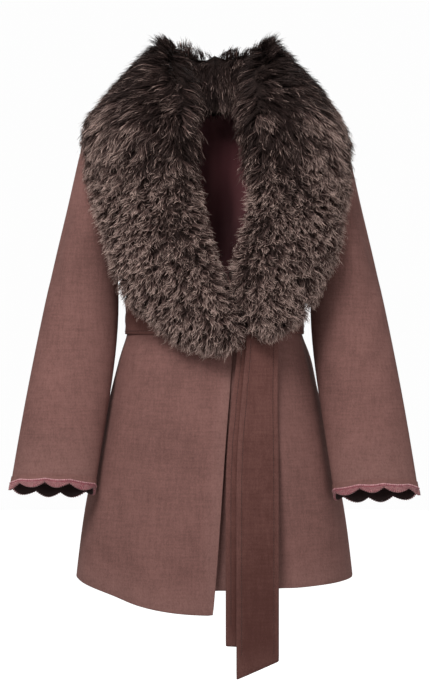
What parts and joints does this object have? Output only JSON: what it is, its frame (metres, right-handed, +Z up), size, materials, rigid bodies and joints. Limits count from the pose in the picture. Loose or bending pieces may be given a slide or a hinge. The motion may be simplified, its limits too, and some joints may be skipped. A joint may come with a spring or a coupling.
{
  "type": "belted wrap overcoat with a fur shawl collar",
  "caption": "Hollow wool wrap coat, worn form: long flared body, sleeves with scalloped cuffs, deep fur shawl collar and a knotted waist belt with hanging ends.",
  "frame": {"origin": "midway between the two neck points, where shoulder seam and neckline meet, level with them: the shoulders carry the coat there", "axes": "+Z up along the coat, +X to the wearer's left, -Y to the front"},
  "size_m": [0.6382, 0.3336, 0.9994],
  "materials": {
    "wool": "brushed wool with a soft nap",
    "belt": "brushed wool, darker and slightly lustrous",
    "fur": "long grizzled fur pile",
    "edging": "crocheted thread edging",
    "lining": "smooth satin lining"
  },
  "bodies": {
    "root": {"back": "wool", "front_right": "wool", "front_left": "wool", "sleeve_right": "wool", "sleeve_left": "wool", "cuff_edging_right": "edging", "cuff_edging_left": "edging", "back_lining": "lining", "belt_band": "belt", "belt_knot": "belt", "belt_tail_front": "belt", "belt_tail_back": "belt", "collar_right": "fur", "collar_left": "fur"}
  },
  "joints": []
}
